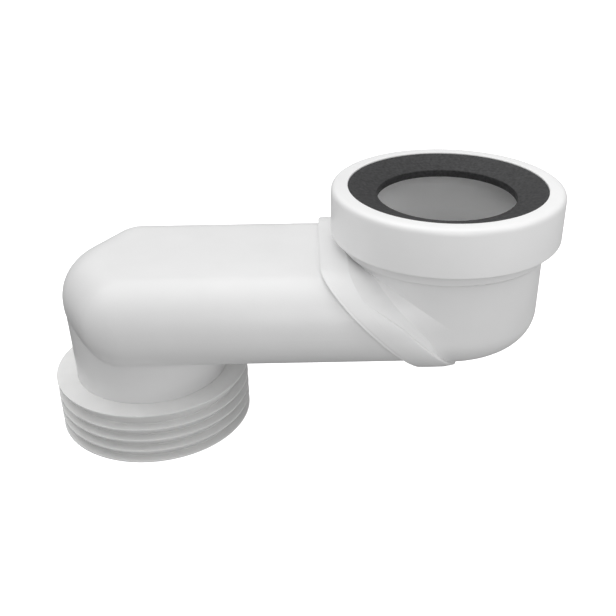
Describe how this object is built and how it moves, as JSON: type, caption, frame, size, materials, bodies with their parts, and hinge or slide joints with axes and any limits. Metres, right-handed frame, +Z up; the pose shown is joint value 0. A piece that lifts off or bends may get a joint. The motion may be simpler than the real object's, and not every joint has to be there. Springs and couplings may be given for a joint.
{
  "type": "toilet pan connector",
  "caption": "Offset toilet pan connector with an upright sealed socket, a flattened sideways arm and a finned spigot that pushes down into a floor soil pipe.",
  "frame": {"origin": "on the spigot's upright axis, level with the top of its uppermost fin", "axes": "+X from the spigot's axis towards the socket's axis, +Z up, the spigot points down and the socket opens up"},
  "size_m": [0.2878, 0.1256, 0.1401],
  "materials": {
    "white_plastic": "satin white moulded polypropylene",
    "white_rubber": "smooth white thermoplastic rubber",
    "dark_rubber": "matt dark grey rubber"
  },
  "bodies": {
    "root": {"offset_arm": "white_plastic", "socket_elbow": "white_plastic", "retaining_ring": "white_plastic", "pan_seal": "dark_rubber", "finned_sleeve": "white_rubber"}
  },
  "joints": []
}
